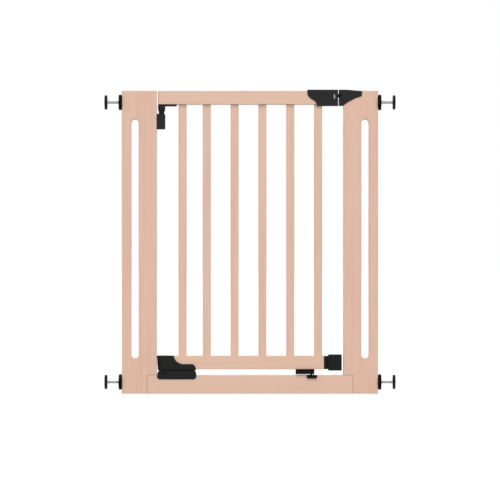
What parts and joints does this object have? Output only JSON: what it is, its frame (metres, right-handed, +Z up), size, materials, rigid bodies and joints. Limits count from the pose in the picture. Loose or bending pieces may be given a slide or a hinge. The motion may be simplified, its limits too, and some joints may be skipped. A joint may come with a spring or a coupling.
{
  "type": "safety baby gate",
  "caption": "Wooden pressure-fit safety gate: slotted posts and a threshold hold a barred leaf that swings on side hinges, with a latch, flip stop and wall spindles.",
  "frame": {"origin": "on the floor, in the middle of the opening and of the posts' thickness", "axes": "+X along the opening from the hinge side to the latch side, +Y from the front to the back, +Z up"},
  "size_m": [0.7804, 0.041, 0.8151],
  "materials": {
    "beech": "clear satin lacquer",
    "black_plastic": "fine moulded texture",
    "fastener_steel": "zinc plated",
    "spindle_steel": "zinc plated thread",
    "black_steel": "satin black",
    "pad_rubber": "matt",
    "indicator": "clear pale green"
  },
  "bodies": {
    "frame": {"left_post": "beech", "right_post": "beech", "threshold_rail": "beech", "frame_dowels": "beech", "guide_bushes": "black_plastic", "upper_hinge_socket": "black_plastic", "socket_screws": "fastener_steel", "lower_hinge_saddle": "black_plastic", "saddle_screws": "fastener_steel", "lower_hinge_pin": "fastener_steel", "closing_spring": "fastener_steel", "strike": "black_plastic", "strike_screws": "fastener_steel"},
    "leaf": {"leaf_top_rail": "beech", "leaf_bottom_rail": "beech", "leaf_bar_1": "beech", "leaf_bar_2": "beech", "leaf_bar_3": "beech", "leaf_bar_4": "beech", "leaf_bar_5": "beech", "leaf_bar_6": "beech", "upper_hinge_bracket": "black_plastic", "upper_hinge_pin": "black_plastic", "hinge_cross_rivet": "black_steel", "bracket_screws": "fastener_steel", "lower_hinge_shoe": "black_plastic", "shoe_screws": "fastener_steel", "latch_front_shell": "black_plastic", "latch_rear_shell": "black_plastic", "latch_screws": "fastener_steel", "indicator_window": "indicator", "bolt_spring": "fastener_steel", "lower_end_block": "black_plastic", "end_block_screw": "fastener_steel", "stop_base": "black_plastic", "stop_screws": "fastener_steel", "stop_pin": "fastener_steel"},
    "latch": {"latch_bolt": "black_plastic", "thumb_slide": "black_plastic"},
    "stop": {"stop_flap": "black_plastic"},
    "handwheel_top_left": {"handwheel_top_left": "black_plastic"},
    "spindle_top_left": {"spindle_rod_top_left": "spindle_steel", "wall_pad_top_left": "black_plastic", "pad_rubber_top_left": "pad_rubber"},
    "handwheel_top_right": {"handwheel_top_right": "black_plastic"},
    "spindle_top_right": {"spindle_rod_top_right": "spindle_steel", "wall_pad_top_right": "black_plastic", "pad_rubber_top_right": "pad_rubber"},
    "handwheel_bottom_left": {"handwheel_bottom_left": "black_plastic"},
    "spindle_bottom_left": {"spindle_rod_bottom_left": "spindle_steel", "wall_pad_bottom_left": "black_plastic", "pad_rubber_bottom_left": "pad_rubber"},
    "handwheel_bottom_right": {"handwheel_bottom_right": "black_plastic"},
    "spindle_bottom_right": {"spindle_rod_bottom_right": "spindle_steel", "wall_pad_bottom_right": "black_plastic", "pad_rubber_bottom_right": "pad_rubber"}
  },
  "joints": [
    {"name": "leaf_swing", "type": "hinge", "parent": "frame", "child": "leaf", "pos_m": [-0.2375, 0, 0.062], "axis": [0, 0, -1], "range_deg": [0, 90], "stiffness_Nm_per_rad": 0.4, "springref_deg": -28.65, "deforming": ["closing_spring"]},
    {"name": "bolt_slide", "type": "slide", "parent": "leaf", "child": "latch", "axis": [1, 0, 0], "range_m": [-0.003, 0.008], "stiffness_N_per_m": 120, "springref_m": 0.014, "deforming": ["bolt_spring"]},
    {"name": "stop_flip", "type": "hinge", "parent": "leaf", "child": "stop", "pos_m": [0.1646, -0.0144, 0.0562], "axis": [-1, 0, 0], "range_deg": [0, 100]},
    {"name": "handwheel_turn_top_left", "type": "hinge", "parent": "frame", "child": "handwheel_top_left", "pos_m": [-0.344, 0, 0.7816], "axis": [1, 0, 0], "range_deg": [-8064, 2880]},
    {"name": "spindle_travel_top_left", "type": "slide", "parent": "frame", "child": "spindle_top_left", "axis": [-1, 0, 0], "range_m": [-0.0281, 0.0101]},
    {"name": "handwheel_turn_top_right", "type": "hinge", "parent": "frame", "child": "handwheel_top_right", "pos_m": [0.344, 0, 0.7816], "axis": [-1, 0, 0], "range_deg": [-8064, 2880]},
    {"name": "spindle_travel_top_right", "type": "slide", "parent": "frame", "child": "spindle_top_right", "axis": [1, 0, 0], "range_m": [-0.0281, 0.0101]},
    {"name": "handwheel_turn_bottom_left", "type": "hinge", "parent": "frame", "child": "handwheel_bottom_left", "pos_m": [-0.344, 0, 0.0304], "axis": [1, 0, 0], "range_deg": [-8064, 2880]},
    {"name": "spindle_travel_bottom_left", "type": "slide", "parent": "frame", "child": "spindle_bottom_left", "axis": [-1, 0, 0], "range_m": [-0.0281, 0.0101]},
    {"name": "handwheel_turn_bottom_right", "type": "hinge", "parent": "frame", "child": "handwheel_bottom_right", "pos_m": [0.344, 0, 0.0304], "axis": [-1, 0, 0], "range_deg": [-8064, 2880]},
    {"name": "spindle_travel_bottom_right", "type": "slide", "parent": "frame", "child": "spindle_bottom_right", "axis": [1, 0, 0], "range_m": [-0.0281, 0.0101]}
  ],
  "couplings": [
    {"joint": "spindle_travel_top_left", "follows": "handwheel_turn_top_left", "m_per_rad": 0.00019894},
    {"joint": "spindle_travel_top_right", "follows": "handwheel_turn_top_right", "m_per_rad": 0.00019894},
    {"joint": "spindle_travel_bottom_left", "follows": "handwheel_turn_bottom_left", "m_per_rad": 0.00019894},
    {"joint": "spindle_travel_bottom_right", "follows": "handwheel_turn_bottom_right", "m_per_rad": 0.00019894}
  ]
}
